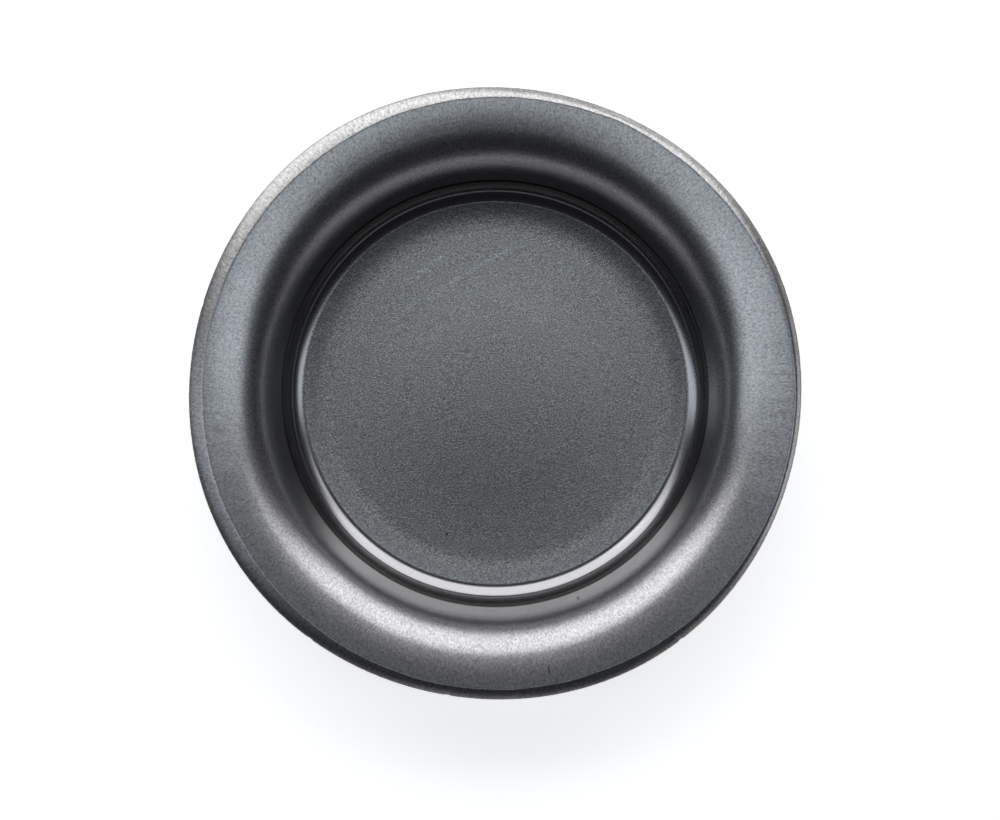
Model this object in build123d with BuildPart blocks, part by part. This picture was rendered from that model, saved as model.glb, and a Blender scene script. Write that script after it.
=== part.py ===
from build123d import *
from math import cos, radians, sin
import os

# Flared dish, deep drawn from one disc of sheet steel.
# Millimetres, +Z up, with the origin at the centre of the underside, where the dish stands.
# Radii are those of the upper face, which the punch and the die shaped.

# Driving dimensions
sheet_thickness = 0.8
floor_diameter = 72.2        # flat part of the floor, inside
floor_corner_radius = 3.1    # left by the nose of the punch
wall_slope = 81.0            # degrees above level: the wall leans out a little, to leave the punch
wall_length = 5.5            # straight part of the wall, along the sheet
throat_radius = 4.0          # bend from the wall into the cone
cone_slope = 62.0            # degrees above level, at the foot of the bell mouth
cone_length = 2.4            # straight foot of the bell mouth, along the sheet
flare_radius = 13.1          # bell mouth, left by the die
flare_end_slope = 17.0       # degrees above level, where the bell mouth passes into the flange
flange_radius = 35.0         # the flange is almost flat
crest_slope = 7.5            # degrees above level, where the flange meets the crease
crease_radius = 1.0          # sharp bend between the flange and the lip
lip_start_slope = 17.0       # degrees below level, just past the crease
lip_radius = 5.43            # the lip goes on curling down
lip_end_slope = 38.0         # degrees below level, at the mean edge

# The rolled sheet stretches more along some directions than others, so the drawn edge is wavy
ear_count = 4
ear_height = 0.55            # how far an ear stands out past the hollows beside it
first_ear_angle = 33.0       # degrees anticlockwise from +X, seen from above

# The lip is drawn past its ears and then trimmed along the wavy edge
trim_turn = 14.0             # degrees of extra curl on the lip
trim_reach = 3.0             # how far the trimming tool reaches to either side of the edge

# Upper face of the sheet, from the axis to the mean edge: x is the radius and y the height
with BuildLine() as upper_face:
    floor_end = floor_diameter / 2
    floor = Line((0, sheet_thickness), (floor_end, sheet_thickness))
    corner = JernArc(floor @ 1, floor % 1, floor_corner_radius, wall_slope)
    wall = PolarLine(corner @ 1, wall_length, wall_slope)
    throat = JernArc(wall @ 1, wall % 1, throat_radius, cone_slope - wall_slope)
    cone = PolarLine(throat @ 1, cone_length, cone_slope)
    flare = JernArc(cone @ 1, cone % 1, flare_radius, flare_end_slope - cone_slope)
    flange = JernArc(flare @ 1, flare % 1, flange_radius, crest_slope - flare_end_slope)
    crease = JernArc(flange @ 1, flange % 1, crease_radius, -crest_slope - lip_start_slope)
    lip = JernArc(crease @ 1, crease % 1, lip_radius, lip_start_slope - lip_end_slope)

rim_radius = (lip @ 1).X
edge_level = (lip @ 1).Y


def wavy_edge(along_normal):
    """Points of the edge, at its ears and hollows, moved along the normal of the lip's face."""
    points = []
    for step in range(2 * ear_count):
        wave = ear_height / 2 * (-1) ** step
        radius = rim_radius + wave + along_normal * sin(radians(lip_end_slope))
        angle = radians(first_ear_angle + 180 * step / ear_count)
        points.append((radius * cos(angle), radius * sin(angle)))
    return points


# Trimming tool: a ring whose inner wall stands square to the lip and follows the wavy edge
trim_rise = trim_reach * cos(radians(lip_end_slope))
with BuildPart() as trim_ring:
    with BuildSketch(Plane.XY.offset(edge_level - trim_rise)):
        Circle(rim_radius + 2 * trim_reach)
    extrude(amount=2 * trim_rise)
    for side in (-1, 1):
        with BuildSketch(Plane.XY.offset(edge_level + side * trim_rise)):
            with BuildLine():
                Spline(*wavy_edge(side * trim_reach), periodic=True)
            make_face()
    loft(mode=Mode.SUBTRACT)

# The dish: the upper face drawn past its edge, thickened downwards, revolved and trimmed
with BuildPart() as dish:
    with BuildSketch(Plane.XZ):
        with BuildLine():
            add(upper_face.line)
            JernArc(lip @ 1, lip % 1, lip_radius, -trim_turn)
            offset(amount=sheet_thickness, side=Side.RIGHT)
        make_face()
    revolve(axis=Axis.Z)
    add(trim_ring.part, mode=Mode.SUBTRACT)

dish.part.label = "dish"
os.makedirs("parts", exist_ok=True)
export_step(dish.part, "parts/dish.step")
print("rim diameter", round(2 * rim_radius, 2), "mm, floor flat to", round(floor_end, 2), "mm radius")
print("dish volume", round(dish.part.volume), "mm3, box", dish.part.bounding_box().size)
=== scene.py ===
# %% [markdown]
# # A flared dish, drawn from one disc of sheet steel
# The CAD frame holds one node, `dish`. It has the right size but a plain surface. This lesson builds
# the same sheet again with a finer mesh and gives each of its faces the finish that the press left.
# Everything is in metres, in the frame's own place, with +Z up and the dish standing on z = 0.

# %% Load the frame
from math import cos, pi, radians, sin

import bpy
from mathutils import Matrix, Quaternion, Vector, noise


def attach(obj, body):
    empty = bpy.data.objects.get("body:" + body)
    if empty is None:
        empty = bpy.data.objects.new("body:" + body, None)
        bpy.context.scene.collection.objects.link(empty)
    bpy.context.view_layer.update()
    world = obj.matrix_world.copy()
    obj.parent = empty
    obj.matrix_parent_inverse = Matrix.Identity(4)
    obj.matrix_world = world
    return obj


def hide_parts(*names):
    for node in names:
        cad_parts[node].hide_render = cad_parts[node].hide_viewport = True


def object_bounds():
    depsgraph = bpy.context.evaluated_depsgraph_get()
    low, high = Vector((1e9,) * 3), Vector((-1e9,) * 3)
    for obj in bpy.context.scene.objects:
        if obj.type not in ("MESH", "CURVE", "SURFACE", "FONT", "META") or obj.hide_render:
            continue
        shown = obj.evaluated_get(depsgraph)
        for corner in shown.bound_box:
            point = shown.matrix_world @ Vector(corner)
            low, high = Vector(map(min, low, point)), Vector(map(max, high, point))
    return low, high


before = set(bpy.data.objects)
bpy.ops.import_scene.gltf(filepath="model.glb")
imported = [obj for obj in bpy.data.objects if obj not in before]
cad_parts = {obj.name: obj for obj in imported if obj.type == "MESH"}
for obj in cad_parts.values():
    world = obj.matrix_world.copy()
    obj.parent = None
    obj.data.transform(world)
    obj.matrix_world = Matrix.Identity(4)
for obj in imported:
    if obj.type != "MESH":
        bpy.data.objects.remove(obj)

cad_low, cad_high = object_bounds()
MM = 0.001
print("CAD box in mm:", [round(side / MM, 2) for side in cad_high - cad_low])

# %% [markdown]
# ## Two helpers
# Colours are written as the hex values that a colour picker shows. Blender's nodes work in linear
# light, so one function turns hex into linear values. A second function adds one node to a node tree,
# sets its options and fills its inputs. An input may be a plain value, a socket to link from, or
# another node, which stands for its first output.


# %% Colour and node helpers
def linear(hex_colour):
    """Linear RGBA from an sRGB hex colour such as "#AEB1B5"."""
    parts = [int(hex_colour[i:i + 2], 16) / 255 for i in (1, 3, 5)]
    return [c / 12.92 if c <= 0.04045 else ((c + 0.055) / 1.055) ** 2.4 for c in parts] + [1.0]


def node(tree, kind, options=None, inputs=None):
    """Add a node: options are its own settings, inputs are values, sockets or nodes to link from."""
    made = tree.nodes.new(kind)
    for name, value in (options or {}).items():
        setattr(made, name, value)
    for name, value in (inputs or {}).items():
        if isinstance(value, bpy.types.Node):
            value = value.outputs[0]
        if isinstance(value, bpy.types.NodeSocket):
            tree.links.new(value, made.inputs[name])
        else:
            made.inputs[name].default_value = value
    return made


print("mid grey is", [round(c, 3) for c in linear("#808080")])

# %% [markdown]
# ## The line of the sheet
# A pressing like this is a body of revolution, so it starts as one line from the axis to the edge. A
# curve with handles could trace it, but the press left true arcs: the nose of the punch rounded the
# corner and the die rounded the bell mouth. So the line is a walk over the sheet. Each stretch runs a
# length and turns an angle, and the next one goes on in the same direction, as smooth metal does.
# The floor isn't quite flat: it rises a little towards its edge, and there it rolls down into a groove.

# %% Walk along the upper face
SHEET = 0.8                # thickness, in millimetres like all sizes of the sheet
STRETCHES = {              # name: (length along the sheet, degrees that it turns upwards, steps)
    "bowl": (19.0, 3.2, 24),
    "rise": (11.6, 0, 8),
    "floor": (5.8, -5.9, 16),
    "groove": (0.1, 21.7, 3),
    "corner": (7.0 * radians(16), 16, 16),
    "heel": (1.53 * radians(37), 37, 14),
    "wall": (21.0 * radians(14), 14, 14),
    "throat": (2.0 * radians(24), -24, 12),
    "cone": (2.95, 0, 6),
    "flare": (13.1 * radians(45), -45, 50),
    "flange": (41.7 * radians(8), -8, 16),
    "crease": (0.5 * radians(26), -26, 4),
    "lip": (6.3 * radians(21), -21, 16),
}
line = [(0.0, SHEET)]
runs = [0.0]               # distance along the sheet from the axis, at each point of the line
ends = {}
heading = 0.0
for name, (length, turn, steps) in STRETCHES.items():
    chord = length / steps
    if turn:
        half = radians(turn / steps) / 2
        chord *= sin(abs(half)) / abs(half)
    for _ in range(steps):
        heading += turn / steps / 2
        radius, height = line[-1]
        line.append((radius + chord * cos(radians(heading)), height + chord * sin(radians(heading))))
        runs.append(runs[-1] + length / steps)
        heading += turn / steps / 2
    ends[name] = runs[-1]
rim_radius, rim_height = line[-1]
print("rim radius", round(rim_radius, 2), "mm, edge at height", round(rim_height, 2), "mm")
print("the sheet runs", {name: round(end, 1) for name, end in ends.items()})

# %% [markdown]
# ## As uneven as the press left it
# Rolled sheet stretches more in some directions than in others, so a drawn rim has four low "ears".
# The trimming die left the edge a little rough, with a few nicks. The crease was bent slightly off
# centre, so the lip is wider on the left than on the right. Two functions say how far the edge and the
# crease lie out at each angle. Noise from mathutils is the same in each run, so nothing is left to luck.

# %% The edge and the crease, round the rim
EARS = 4
EAR_HEIGHT = 0.55          # from the hollows to the tips
FIRST_EAR = radians(33)
EDGE_GRAIN = 0.025         # roughness of the sheared edge
TEETH = {60: 1.0, 170: 0.6}               # how fine the noise along the edge is: its share
SHEARED_AWAY = 0.6         # the shear takes away more than it leaves, in units of the grain
NICKS = {233: 0.10, 261: 0.14, 307: 0.16, 163: 0.08}      # degrees round the rim: depth
NICK_HALF_WIDTH = 0.5
CREASE_SHIFT = 0.65        # how far the crease sits off centre, towards +X
CREASE_WOBBLE = 0.2        # how far it wanders to and fro
WANDERS = {3: 1.0, 11: 0.6, 40: 0.3}      # how fine the noise along the crease is: its share


def edge_offset(angle):
    """How far the edge lies out from the mean rim at this angle."""
    around = Vector((cos(angle), sin(angle), 0))
    teeth = sum(share * noise.noise(around * fine) for fine, share in TEETH.items())
    grain = EDGE_GRAIN * (teeth - SHEARED_AWAY)
    nick = 0.0
    for degrees_round, depth in NICKS.items():
        away = (angle - radians(degrees_round) + pi) % (2 * pi) - pi
        nick += depth * max(0.0, 1 - (away * rim_radius / NICK_HALF_WIDTH) ** 2)
    return EAR_HEIGHT / 2 * cos(EARS * (angle - FIRST_EAR)) + grain - nick


def crease_offset(angle):
    """How far the crease lies out from its mean circle at this angle."""
    around = Vector((cos(angle), sin(angle), 1))
    wander = sum(share * noise.noise(around * fine) for fine, share in WANDERS.items())
    return CREASE_SHIFT * cos(angle) + CREASE_WOBBLE * wander


SPOKES = 900
angles = [2 * pi * spoke / SPOKES for spoke in range(SPOKES)]
edge_offsets = [edge_offset(angle) for angle in angles]
crease_offsets = [crease_offset(angle) for angle in angles]
print("edge lies", round(min(edge_offsets), 2), "to", round(max(edge_offsets), 2), "mm from its mean circle")

# %% [markdown]
# ## Round the axis
# A Screw modifier would spin the line into a perfect ring. This ring isn't perfect, so its points are
# set one by one: each keeps the line's radius, moved by a share of the two offsets. The share fades in
# along the sheet, which keeps the flare true and lets only the lip and the edge wander. Each point also
# stores its distance along the sheet as an attribute named `run`, which the materials read later.


# %% Spin the line
def ramp(value, start, end):
    """0 before start, 1 after end, and a smooth rise between them."""
    share = min(1.0, max(0.0, (value - start) / (end - start)))
    return share * share * (3 - 2 * share)


CREASE_REACH = 4           # millimetres before the flange, from which the sheet follows the crease
verts = [(0, 0, line[0][1] * MM)]
vert_runs = [0.0]
for (radius, height), run in zip(line[1:], runs[1:]):
    to_edge = ramp(run, ends["flange"], ends["lip"])
    to_crease = ramp(run, ends["flare"] - CREASE_REACH, ends["flange"]) * (1 - to_edge)
    for angle, at_edge, at_crease in zip(angles, edge_offsets, crease_offsets):
        out = radius + at_edge * to_edge + at_crease * to_crease
        verts.append((out * cos(angle) * MM, out * sin(angle) * MM, height * MM))
        vert_runs.append(run)

faces = []
for spoke in range(SPOKES):
    beside = (spoke + 1) % SPOKES
    faces.append((0, 1 + spoke, 1 + beside))
    for ring in range(len(line) - 2):
        inner, outer = 1 + ring * SPOKES, 1 + (ring + 1) * SPOKES
        faces.append((inner + spoke, outer + spoke, outer + beside, inner + beside))

sheet = bpy.data.meshes.new("drawn_dish")
sheet.from_pydata(verts, [], faces)
sheet.attributes.new("run", "FLOAT", "POINT").data.foreach_set("value", vert_runs)
sheet.shade_smooth()
dish = bpy.data.objects.new("drawn_dish", sheet)
bpy.context.collection.objects.link(dish)
print(len(verts), "points,", len(faces), "faces")

# %% [markdown]
# ## Thickness
# The line is the upper face of a sheet 0.8 mm thick. Solidify is the tool for a sheet: it copies the face
# downwards, closes the edge, and gives the underside and the cut edge material slots of their own. The
# dish stands on a flat bottom, though its floor rises a little towards the edge. So the thickness comes
# from a vertex group: it reaches down to z = 0 under the floor and is the sheet's own from the wall on.

# %% Give the sheet its thickness
floor_edge = runs.index(ends["floor"])
thickest = max(height for radius, height in line[:floor_edge + 1])
shares = dish.vertex_groups.new(name="thickness")
for point, ((radius, height), run) in enumerate(zip(line, runs)):
    under_floor = height if point <= floor_edge else line[floor_edge][1]
    to_wall = ramp(run, ends["floor"], ends["heel"])
    local = under_floor + (SHEET - under_floor) * to_wall
    ring = range(1 + (point - 1) * SPOKES, 1 + point * SPOKES) if point else [0]
    shares.add(list(ring), local / thickest, "REPLACE")

thicken = dish.modifiers.new("sheet thickness", "SOLIDIFY")
thicken.thickness = thickest * MM
thicken.vertex_group = shares.name
thicken.offset = -1
thicken.use_even_offset = True
thicken.material_offset = 1
thicken.material_offset_rim = 2
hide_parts("dish")
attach(dish, "root")

# %% [markdown]
# ## Where a point lies on the sheet
# Both faces of the sheet have patterns that follow it, so their materials start from the same places:
# the distance along the sheet, the place in millimetres, that place laid flat, and the direction from
# the axis. A texture map would need UVs with a seam. These places come from the mesh and have none.
# Another helper draws noise in streaks along the sheet, the way metal is pulled when it is drawn.


# %% Helpers for patterns on the sheet
def empty_material(name):
    """A new material with no nodes yet, and its node tree."""
    made = bpy.data.materials.new(name)
    made.use_nodes = True
    made.node_tree.nodes.clear()
    return made, made.node_tree


def place_in_mm(tree):
    """Place of a point, in millimetres."""
    place = node(tree, "ShaderNodeNewGeometry").outputs["Position"]
    return node(tree, "ShaderNodeVectorMath", {"operation": "SCALE"}, {0: place, "Scale": 1 / MM})


def places_on_sheet(tree):
    """Distance along the sheet, place in mm, the same place laid flat, and direction from the axis."""
    run = node(tree, "ShaderNodeAttribute", {"attribute_name": "run"}).outputs["Fac"]
    in_mm = place_in_mm(tree)
    flat = node(tree, "ShaderNodeVectorMath", {"operation": "MULTIPLY"}, {0: in_mm, 1: (1, 1, 0)})
    around = node(tree, "ShaderNodeVectorMath", {"operation": "NORMALIZE"}, {0: flat})
    return run, in_mm, flat, around


def pulled_noise(tree, run, around, radius, width, length, detail):
    """Noise in streaks along the sheet, with this width and length in mm at this radius."""
    turns = node(tree, "ShaderNodeVectorMath", {"operation": "SCALE"}, {0: around, "Scale": radius / width})
    pulls = node(tree, "ShaderNodeMath", {"operation": "DIVIDE"}, {0: run, 1: length})
    outwards = node(tree, "ShaderNodeCombineXYZ", None, {"Z": pulls})
    pulled = node(tree, "ShaderNodeVectorMath", {"operation": "ADD"}, {0: turns, 1: outwards})
    return node(tree, "ShaderNodeTexNoise", None, {"Vector": pulled, "Scale": 1.0, "Detail": detail})


WALL_RADIUS, FLARE_RADIUS = 41, 48         # millimetres from the axis, at the middle of each
print("streaks are true at radius", WALL_RADIUS, "mm on the wall and", FLARE_RADIUS, "mm on the flare")

# %% [markdown]
# ## Upper face: cold-rolled steel, drawn over a punch and a die
# Where the sheet was only clamped or stretched it keeps the matt skin of the rolling mill. Where the
# punch and the die pressed hard, in the corner and on the wall, the skin is ironed smooth and reflects
# sharply. Several materials could meet at rings of faces, but they would meet at hard lines. So one
# material does all of it, and zones along the sheet fade its finishes into each other.

# %% Upper face: where each finish lies
steel, tree = empty_material("cold_rolled_steel_drawn")      # gives a dark satin with bright crescents
run, in_mm, flat, around = places_on_sheet(tree)
ZONE_STARTS = {            # name: the zone fades in between these two distances along the sheet
    # Zones for the edge of the floor, the groove and the bend above the wall carry painted shade.
    "floor_edge_shade": (ends["floor"] - 4.2, ends["floor"] - 1.4),
    "groove_shade": (ends["floor"] - 0.35, ends["floor"] - 0.1),
    "corner": (ends["groove"] + 0.1, ends["groove"] + 0.45),
    "bend_shade": (ends["wall"] - 4.6, ends["wall"] - 2.0),
    "cone": (ends["throat"], ends["throat"] + 0.6),
    "flare": (ends["cone"] - 2, ends["cone"] + 6),
    "crease": (ends["flange"] - 0.3, ends["flange"] + 0.1),
    "lip": (ends["flange"], ends["crease"] + 0.4),
}
zone = {}
for name, (start, end) in ZONE_STARTS.items():
    zone[name] = node(tree, "ShaderNodeMapRange", {"interpolation_type": "SMOOTHSTEP"},
                      {"Value": run, "From Min": start, "From Max": end})
BANDS = {                  # name: the band lies between the starts of these two zones
    "shaded_groove": ("groove_shade", "corner"),
    "ironed": ("corner", "flare"),
    "burnished": ("corner", "bend_shade"),
    "shaded_bend": ("bend_shade", "cone"),
    "creased": ("crease", "lip"),
}
band = {}
for name, (start, end) in BANDS.items():
    band[name] = node(tree, "ShaderNodeMath", {"operation": "SUBTRACT"}, {0: zone[start], 1: zone[end]})
print("zones", list(zone), "and bands", list(band))

# %% [markdown]
# ## Upper face: grain
# The floor is finely speckled by the rollers of the mill. On the flare the skin was pulled outwards, so
# its specks are longer than wide, like orange peel. Both are noise, sized in millimetres. The same noise
# moves the bump and, later, the brightness, because a pit is darker as well as lower.

# %% Upper face: grain
SPECKLE = 0.27             # millimetres, pits of the mill skin; finer in the metal, drawn coarser to show
GRAIN_WIDTH, GRAIN_LENGTH = 0.30, 0.48     # millimetres, on the flare; also drawn coarser to show
MOTTLE = 9.0               # millimetres, cloudy patches
PIT_DEPTH = 0.016          # millimetres
IRONED_DEPTH = 0.1         # share of the pits that ironing left

speckle = node(tree, "ShaderNodeTexNoise", None, {"Vector": in_mm, "Scale": 1 / SPECKLE, "Detail": 1.0})
peel = pulled_noise(tree, run, around, FLARE_RADIUS, GRAIN_WIDTH, GRAIN_LENGTH, 1.0)
grain = node(tree, "ShaderNodeMix", {"data_type": "FLOAT"}, {0: zone["corner"], 2: speckle, 3: peel})
mottle = node(tree, "ShaderNodeTexNoise", None, {"Vector": in_mm, "Scale": 1 / MOTTLE, "Detail": 3.0})
depth = node(tree, "ShaderNodeMapRange", None,
             {"Value": band["ironed"], "To Min": 1.0, "To Max": IRONED_DEPTH})
bumps = node(tree, "ShaderNodeBump", None, {"Strength": depth, "Distance": PIT_DEPTH * MM, "Height": grain})
print("grain", SPECKLE, "mm on the floor,", GRAIN_WIDTH, "by", GRAIN_LENGTH, "mm on the flare")

# %% [markdown]
# ## Upper face: marks of use
# A few scuffs and specks show that the dish was handled. Painting them on an image would be one way.
# Here each mark is a soft round spot from a spherical gradient, and a Mapping node moves it, turns it
# and stretches it to its length and width. Light marks add up in one sum and dark ones in another.

# %% Upper face: marks of use
MARKS = {                  # name: x, y, length, width in mm, degrees from +X, light (+) or dark (-)
    "long scuff": (-6.0, 22.5, 30.0, 1.4, 31, 0.3),
    "scuff beside it": (-12.0, 24.5, 14.0, 1.8, 35, 0.25),
    "short scuff": (2.5, 27.0, 9.0, 1.2, 24, 0.25),
    "left scuff": (-17.5, 15.5, 10.0, 1.0, 40, 0.25),
    "scuff at the middle": (-1.5, -2.5, 4.0, 1.6, 10, 0.35),
    "low scuff": (9.0, -12.0, 16.0, 1.0, 28, 0.2),
    "scratch on the flange": (10.0, -51.3, 2.4, 0.30, 100, -1.8),
    "speck on the floor": (-9.2, -26.7, 0.7, 0.6, 0, -1.8),
    "speck on the ring": (15.5, -38.3, 0.9, 0.5, -65, -1.0),
    "speck on the flare": (9.8, 38.6, 0.8, 0.6, 0, -1.4),
}
light = dark = 0.0
for x, y, length, width, turn, strength in MARKS.values():
    over = node(tree, "ShaderNodeMapping", {"vector_type": "TEXTURE"},
                {"Vector": flat, "Location": (x, y, 0), "Rotation": (0, 0, radians(turn)),
                 "Scale": (length / 2, width / 2, 1)})
    spot = node(tree, "ShaderNodeTexGradient", {"gradient_type": "SPHERICAL"}, {"Vector": over})
    spot = spot.outputs["Fac"]
    if strength > 0:
        light = node(tree, "ShaderNodeMath", {"operation": "MULTIPLY_ADD"}, {0: spot, 1: strength, 2: light})
    else:
        dark = node(tree, "ShaderNodeMath", {"operation": "MULTIPLY_ADD"}, {0: spot, 1: -strength, 2: dark})
light = node(tree, "ShaderNodeMath", {"operation": "MULTIPLY"}, {0: light, 1: speckle})
print(len(MARKS), "marks")

# %% [markdown]
# ## Upper face: colour
# Bare steel is a neutral grey, and it looks cool or warm by what it reflects. The colour is laid on in
# layers, from the floor's tone to the marks, and each layer covers only its zone. Painted shade darkens
# the edge of the floor, the groove round it, the bend above the wall and the crease; the lines in the
# groove and along the crease are strong on the near side and faint elsewhere. The lip is painted paler
# on the far side, a painted highlight, and stays darker on the rest.

# %% Upper face: colour
FLOOR_TONE = linear("#A4A4A4")
FLOOR_EDGE_SHADE = linear("#8B8B8C")                   # painted shade, darker towards the edge of the floor at the foot of the wall
GROOVE_SHADE = linear("#505051")                    # painted shade in the groove round the floor, strongest on the near side
SKIN_DARK, SKIN_PALE = linear("#A5A5A8"), linear("#B5B5B7")
BURNISHED = linear("#A0A0A2")              # corner and foot of the wall, rubbed by the punch
BEND_SHADE = linear("#282726")                  # painted shade, dark in the bend above the wall
LIP = linear("#969698")                    # lip on the near side and at the sides, darker than the skin
LIP_SHEEN = linear("#B6B5B5")                 # painted highlight, paler and a little warm, on the far side of the lip
CREASE_SHADE = linear("#88888A")               # painted shade along the crease
SCUFF, SPECK = linear("#E2E4E6"), linear("#3A3836")
FAINT = 0.2                                # strength of the two painted shade lines on the far side
LINE_FADE = (-0.7, 0.1)                    # the painted shade lines fade between these, from near (-1) to far (1)
LIP_SHEEN_FADE = (0.0, 0.75)                     # and the painted highlight on the lip grows between these

skin = node(tree, "ShaderNodeMix", {"data_type": "RGBA"}, {0: mottle, 6: SKIN_DARK, 7: SKIN_PALE})
far = node(tree, "ShaderNodeSeparateXYZ", None, {0: around}).outputs["Y"]
near = node(tree, "ShaderNodeMapRange", {"interpolation_type": "SMOOTHSTEP"},
            {"Value": far, "From Min": LINE_FADE[0], "From Max": LINE_FADE[1],
             "To Min": 1.0, "To Max": FAINT})
# Painted shade along the crease and in the groove, strongest on the near side.
crease_shade_line = node(tree, "ShaderNodeMath", {"operation": "MULTIPLY"}, {0: band["creased"], 1: near})
groove_shade_line = node(tree, "ShaderNodeMath", {"operation": "MULTIPLY"}, {0: band["shaded_groove"], 1: near})
# Painted highlight on the lip, growing towards the far side.
lip_sheen = node(tree, "ShaderNodeMapRange", {"interpolation_type": "SMOOTHSTEP"},
           {"Value": far, "From Min": LIP_SHEEN_FADE[0], "From Max": LIP_SHEEN_FADE[1]})
lip = node(tree, "ShaderNodeMix", {"data_type": "RGBA"}, {0: lip_sheen, 6: LIP, 7: LIP_SHEEN})
# Painted shade lies in four of these layers: the floor's edge, the groove, the bend above the wall and the
# crease.
LAYERS = [(zone["floor_edge_shade"], FLOOR_EDGE_SHADE), (zone["corner"], skin.outputs[2]), (band["burnished"], BURNISHED),
          (groove_shade_line, GROOVE_SHADE), (band["shaded_bend"], BEND_SHADE), (zone["lip"], lip.outputs[2]), (crease_shade_line, CREASE_SHADE),
          (light, SCUFF), (dark, SPECK)]
tone = FLOOR_TONE
for cover, paint in LAYERS:
    tone = node(tree, "ShaderNodeMix", {"data_type": "RGBA"}, {0: cover, 6: tone, 7: paint}).outputs[2]
print(len(LAYERS), "layers over the floor's tone")

# %% [markdown]
# ## Upper face: shade of the grain, and shine
# Each pit is a little darker than the skin round it, so the grain also scales the colour. Steel is a
# metal, so Metallic is 1, the IOR stays at its default, and roughness alone sets how matt it looks:
# middling for the mill skin, low where it was ironed and higher where the lip is worn.

# %% Upper face: shade of the grain, and shine
FLOOR_CONTRAST, FLARE_CONTRAST = 0.42, 0.35            # how much darker a pit is
PIT, PEAK = 0.25, 0.75                                 # most of the noise lies between these
MATT, PULLED, IRONED, WORN = 0.27, 0.29, 0.21, 0.34    # roughness of the floor, flare, wall and lip

contrast = node(tree, "ShaderNodeMix", {"data_type": "FLOAT"},
                {0: zone["corner"], 2: FLOOR_CONTRAST, 3: FLARE_CONTRAST})
contrast = node(tree, "ShaderNodeMath", {"operation": "MULTIPLY"}, {0: contrast, 1: depth})
pits = node(tree, "ShaderNodeMapRange", None,
            {"Value": grain, "From Min": PIT, "From Max": PEAK, "To Min": -1.0, "To Max": 1.0})
shade = node(tree, "ShaderNodeMath", {"operation": "MULTIPLY_ADD"}, {0: pits, 1: contrast, 2: 1.0})
colour = node(tree, "ShaderNodeVectorMath", {"operation": "SCALE"}, {0: tone, "Scale": shade})
rough = MATT
for cover, roughness in [(zone["flare"], PULLED), (band["ironed"], IRONED), (zone["lip"], WORN)]:
    rough = node(tree, "ShaderNodeMix", {"data_type": "FLOAT"}, {0: cover, 2: rough, 3: roughness})
shader = node(tree, "ShaderNodeBsdfPrincipled", None,
              {"Base Color": colour, "Metallic": 1.0, "Roughness": rough, "Normal": bumps})
node(tree, "ShaderNodeOutputMaterial", None, {"Surface": shader})
sheet.materials.append(steel)
print(steel.name, "has", len(tree.nodes), "nodes")

# %% [markdown]
# ## Underside: the same sheet where it slid over the die
# The underside was never polished by the punch. Drawing it through the die scored fine lines up the
# wall, and handling dulled the rest, so it is a shade darker and evenly matt. The streaks come from the
# same helper as the flare's grain, only longer, and the speckle of the mill stays on the flat bottom.

# %% Underside
SCORE_WIDTH, SCORE_LENGTH = 0.4, 7.0       # millimetres; wider than real die lines, so that they show
DULL_DARK, DULL_PALE = linear("#8F8F92"), linear("#AFAFB1")
DULL_ROUGHNESS = (0.34, 0.44)              # from the shiniest patches to the dullest
under, tree = empty_material("cold_rolled_steel_underside")  # gives a dull grey with faint upright lines
run, in_mm, flat, around = places_on_sheet(tree)
scores = pulled_noise(tree, run, around, WALL_RADIUS, SCORE_WIDTH, SCORE_LENGTH, 3.0)
speckle = node(tree, "ShaderNodeTexNoise", None, {"Vector": in_mm, "Scale": 1 / SPECKLE, "Detail": 1.0})
on_wall = node(tree, "ShaderNodeMapRange", {"interpolation_type": "SMOOTHSTEP"},
               {"Value": run, "From Min": ends["floor"], "From Max": ends["heel"]})
relief = node(tree, "ShaderNodeMix", {"data_type": "FLOAT"}, {0: on_wall, 2: speckle, 3: scores})
mottle = node(tree, "ShaderNodeTexNoise", None, {"Vector": in_mm, "Scale": 1 / MOTTLE, "Detail": 4.0})
clouds = node(tree, "ShaderNodeMath", {"operation": "ADD"}, {0: mottle, 1: relief})
blend = node(tree, "ShaderNodeMapRange", None, {"Value": clouds, "From Min": 0.65, "From Max": 1.35})
tone = node(tree, "ShaderNodeMix", {"data_type": "RGBA"},
            {0: blend, 6: DULL_DARK, 7: DULL_PALE}).outputs[2]
rough = node(tree, "ShaderNodeMapRange", None,
             {"Value": mottle, "From Min": 0.3, "From Max": 0.7,
              "To Min": DULL_ROUGHNESS[0], "To Max": DULL_ROUGHNESS[1]})
bumps = node(tree, "ShaderNodeBump", None, {"Strength": 1.0, "Distance": PIT_DEPTH * MM, "Height": relief})
shader = node(tree, "ShaderNodeBsdfPrincipled", None,
              {"Base Color": tone, "Metallic": 1.0, "Roughness": rough, "Normal": bumps})
node(tree, "ShaderNodeOutputMaterial", None, {"Surface": shader})
sheet.materials.append(under)
print(under.name, "has", len(tree.nodes), "nodes")

# %% [markdown]
# ## Edge: sheared steel
# The trimming die cut the edge clean at first and then tore it, so it is bright, grainy metal. The edge
# is a narrow strip of faces that Solidify made, and plain noise without a direction suits a torn face.

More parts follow.
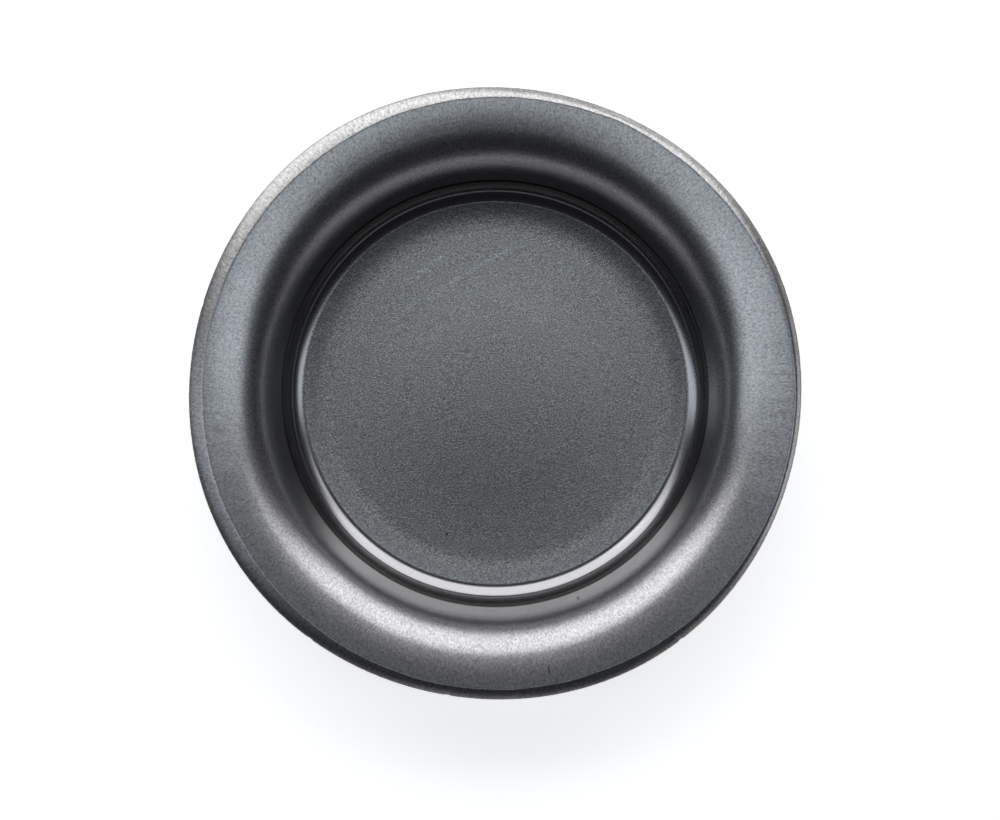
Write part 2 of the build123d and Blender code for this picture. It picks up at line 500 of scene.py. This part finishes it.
# %% Sheared edge
SHEAR_GRAIN = 0.25         # millimetres
TEAR_DEPTH = 0.03          # millimetres
TORN_DARK, TORN_PALE = linear("#8D8F92"), linear("#C2C4C6")
TORN_ROUGHNESS = 0.38
edge, tree = empty_material("sheared_steel_edge")            # gives a thin bright line round the rim
in_mm = place_in_mm(tree)
torn = node(tree, "ShaderNodeTexNoise", None, {"Vector": in_mm, "Scale": 1 / SHEAR_GRAIN, "Detail": 3.0})
tone = node(tree, "ShaderNodeMix", {"data_type": "RGBA"},
            {0: torn, 6: TORN_DARK, 7: TORN_PALE}).outputs[2]
bumps = node(tree, "ShaderNodeBump", None, {"Strength": 0.6, "Distance": TEAR_DEPTH * MM, "Height": torn})
shader = node(tree, "ShaderNodeBsdfPrincipled", None,
              {"Base Color": tone, "Metallic": 1.0, "Roughness": TORN_ROUGHNESS, "Normal": bumps})
node(tree, "ShaderNodeOutputMaterial", None, {"Surface": shader})
sheet.materials.append(edge)
print(edge.name, "has", len(tree.nodes), "nodes")

# %% [markdown]
# ## The floor
# Product photos stand on white, so the dish gets a wide, plain floor. A curved backdrop would hide the
# line where a small floor ends. One large square does as well here, because the room beyond it is white
# too.

# %% Floor
FLOOR_SIDE = 6.0
half = FLOOR_SIDE / 2
corners = [(-half, -half, 0), (half, -half, 0), (half, half, 0), (-half, half, 0)]
floor_mesh = bpy.data.meshes.new("floor")
floor_mesh.from_pydata(corners, [], [(0, 1, 2, 3)])
floor = bpy.data.objects.new("floor", floor_mesh)
bpy.context.collection.objects.link(floor)
print("floor side", FLOOR_SIDE, "m")

# %% [markdown]
# ## White paper that keeps the shadow
# Lighting the floor up to white would flood the metal with light. So the paper glows for what looks at
# it, which is the camera and mirror-like rays, and stays plain and pale for the rest. Near the dish the
# glow isn't complete, so that the shadow still shows. Far off, out of the lamps' reach, it grows to full
# white, and the floor meets the white of the room with no line.

# %% White paper for the floor
PAPER = linear("#F4F4F4")
GLOW = 0.62                # near the dish; the lamps give the rest
GLOW_NEAR, GLOW_FAR = 0.2, 0.9             # metres from the dish, where the glow starts to grow and is full
paper, tree = empty_material("white_paper")                  # gives an even white with a soft shadow
rays = node(tree, "ShaderNodeLightPath").outputs
seen = rays["Is Camera Ray"]
for kind in ("Is Glossy Ray", "Is Transmission Ray"):
    seen = node(tree, "ShaderNodeMath", {"operation": "MAXIMUM"}, {0: seen, 1: rays[kind]})
place = node(tree, "ShaderNodeNewGeometry").outputs["Position"]
away = node(tree, "ShaderNodeVectorMath", {"operation": "LENGTH"}, {0: place}).outputs["Value"]
growth = node(tree, "ShaderNodeMapRange", {"interpolation_type": "SMOOTHSTEP"},
              {"Value": away, "From Min": GLOW_NEAR, "From Max": GLOW_FAR, "To Min": GLOW, "To Max": 1.0})
strength = node(tree, "ShaderNodeMath", {"operation": "MULTIPLY"}, {0: seen, 1: growth})
lit = node(tree, "ShaderNodeBsdfDiffuse", None, {"Color": PAPER})
glow = node(tree, "ShaderNodeEmission", None, {"Color": linear("#FFFFFF"), "Strength": strength})
both = node(tree, "ShaderNodeAddShader", None, {0: lit, 1: glow})
node(tree, "ShaderNodeOutputMaterial", None, {"Surface": both})
floor_mesh.materials.append(paper)
print(paper.name, "has", len(tree.nodes), "nodes")

# %% [markdown]
# ## The room
# Metal shows what stands round it. The dish is dark in the middle of its flare because the room
# overhead is dark, and it has a pale line where it reflects the white near the horizon. On the near side
# a paler band stands higher, like a bright wall behind the camera. An image of a room could do this, but
# three ramps over the direction are enough, and they can be changed one by one.

# %% World
DARK_ROOM, WHITE_ROOM = linear("#1E1E22"), linear("#FFFFFF")
WALL_TOP = (0.05, 0.08)    # the white wall fades between these heights, 0 at the horizon and 1 overhead
BAND_TOP = (0.14, 0.28)    # and the pale band between these
BAND_SIDE = (-0.75, -0.35)                 # the pale band fades between these, from near (-1) to far (1)
BAND_STRENGTH = 0.42
world = bpy.data.worlds.new("dark studio with white walls")
bpy.context.scene.world = world
world.use_nodes = True
tree = world.node_tree
tree.nodes.clear()
direction = node(tree, "ShaderNodeTexCoord").outputs["Generated"]
axes = node(tree, "ShaderNodeSeparateXYZ", None, {0: direction}).outputs
white_wall = node(tree, "ShaderNodeMapRange", {"interpolation_type": "SMOOTHSTEP"},
                  {"Value": axes["Z"], "From Min": WALL_TOP[0], "From Max": WALL_TOP[1],
                   "To Min": 1.0, "To Max": 0.0})
near_side = node(tree, "ShaderNodeMapRange", {"interpolation_type": "SMOOTHSTEP"},
                 {"Value": axes["Y"], "From Min": BAND_SIDE[0], "From Max": BAND_SIDE[1],
                  "To Min": 1.0, "To Max": 0.0})
low_part = node(tree, "ShaderNodeMapRange", {"interpolation_type": "SMOOTHSTEP"},
                {"Value": axes["Z"], "From Min": BAND_TOP[0], "From Max": BAND_TOP[1],
                 "To Min": BAND_STRENGTH, "To Max": 0.0})
pale_band = node(tree, "ShaderNodeMath", {"operation": "MULTIPLY"}, {0: near_side, 1: low_part})
pale = node(tree, "ShaderNodeMath", {"operation": "MAXIMUM"}, {0: white_wall, 1: pale_band})
room = node(tree, "ShaderNodeMix", {"data_type": "RGBA"},
            {0: pale, 6: DARK_ROOM, 7: WHITE_ROOM}).outputs[2]
back = node(tree, "ShaderNodeBackground", None, {"Color": room, "Strength": 1.0})
node(tree, "ShaderNodeOutputWorld", None, {"Surface": back})
print("world", world.name, "has", len(tree.nodes), "nodes")

# %% [markdown]
# ## Softboxes
# A large softbox behind the dish draws the bright crescents on the near side of the corner and the
# flare, and two small ones beside it carry them a little further round. Three panels overhead, a shade
# cooler, light the flat parts: one on each side for the flange and a weaker one over the camera for the
# floor. A metal shows a lamp's brightness and not its power, so each lamp is given by its radiance, and
# its power follows from its size.

# %% Lamps
WHITE, COOL = "#FFFFFF", "#F0F9FF"
MIDDLE = (0, 0, 0.012)
LAMPS = {                  # name: centre, aim, turn about the aim in degrees, width, height, radiance, colour
    "softbox_back": ((-0.04, 0.80, 0.63), MIDDLE, 0, 2.1, 0.72, 2.0, WHITE),
    "fill_back_left": ((-0.52, 0.39, 0.78), MIDDLE, 0, 0.36, 0.28, 1.2, WHITE),
    "fill_back_right": ((0.52, 0.39, 0.78), MIDDLE, 0, 0.36, 0.28, 1.2, WHITE),
    "panel_left": ((-1.20, -0.03, 1.0), (-1.20, -0.03, 0), -9, 2.0, 0.37, 1.35, COOL),
    "panel_right": ((0.74, -0.10, 1.0), (0.74, -0.10, 0), 9, 1.06, 0.37, 1.3, COOL),
    "panel_over_camera": ((0, -0.18, 1.0), (0, -0.18, 0), 0, 0.42, 0.26, 0.93, COOL),
}
for name, (centre, aim, turn, width, height, radiance, tint) in LAMPS.items():
    lamp = bpy.data.lights.new(name, "AREA")
    lamp.shape = "RECTANGLE"
    lamp.size, lamp.size_y = width, height
    lamp.energy = radiance * pi * width * height
    lamp.color = linear(tint)[:3]
    stand = bpy.data.objects.new(name, lamp)
    bpy.context.collection.objects.link(stand)
    stand.location = centre
    stand.rotation_mode = "QUATERNION"
    facing = (Vector(centre) - Vector(aim)).to_track_quat("Z", "Y")
    stand.rotation_quaternion = facing @ Quaternion((0, 0, 1), radians(turn))
    print(name, "at", [round(x, 2) for x in stand.location], round(lamp.energy, 2), "W")

# %% [markdown]
# ## The camera
# The photo looks straight down, with a long lens. The dish lies a little left of the middle of the
# frame and a little above it, so the camera hangs that much right of the axis and nearer to us. The lens
# follows from the width that the picture covers at the rim, so the two can't drift apart.

# %% Camera
FRAME_WIDTH = 0.1853       # metres that the picture's width covers, at the rim
CAMERA_HEIGHT = 0.75       # metres above the rim
CAMERA_RIGHT, CAMERA_NEARER = 0.0009, 0.0031           # metres from the axis
SENSOR = 36.0              # millimetres
photo_camera = bpy.data.cameras.new("photo_camera")
photo_camera.sensor_width = SENSOR
photo_camera.lens = SENSOR * CAMERA_HEIGHT / FRAME_WIDTH
camera = bpy.data.objects.new("photo_camera", photo_camera)
bpy.context.collection.objects.link(camera)
camera.location = (CAMERA_RIGHT, -CAMERA_NEARER, cad_high.z + CAMERA_HEIGHT)
bpy.context.scene.camera = camera
bpy.context.scene.view_settings.view_transform = "Standard"
print("lens", round(photo_camera.lens, 1), "mm")
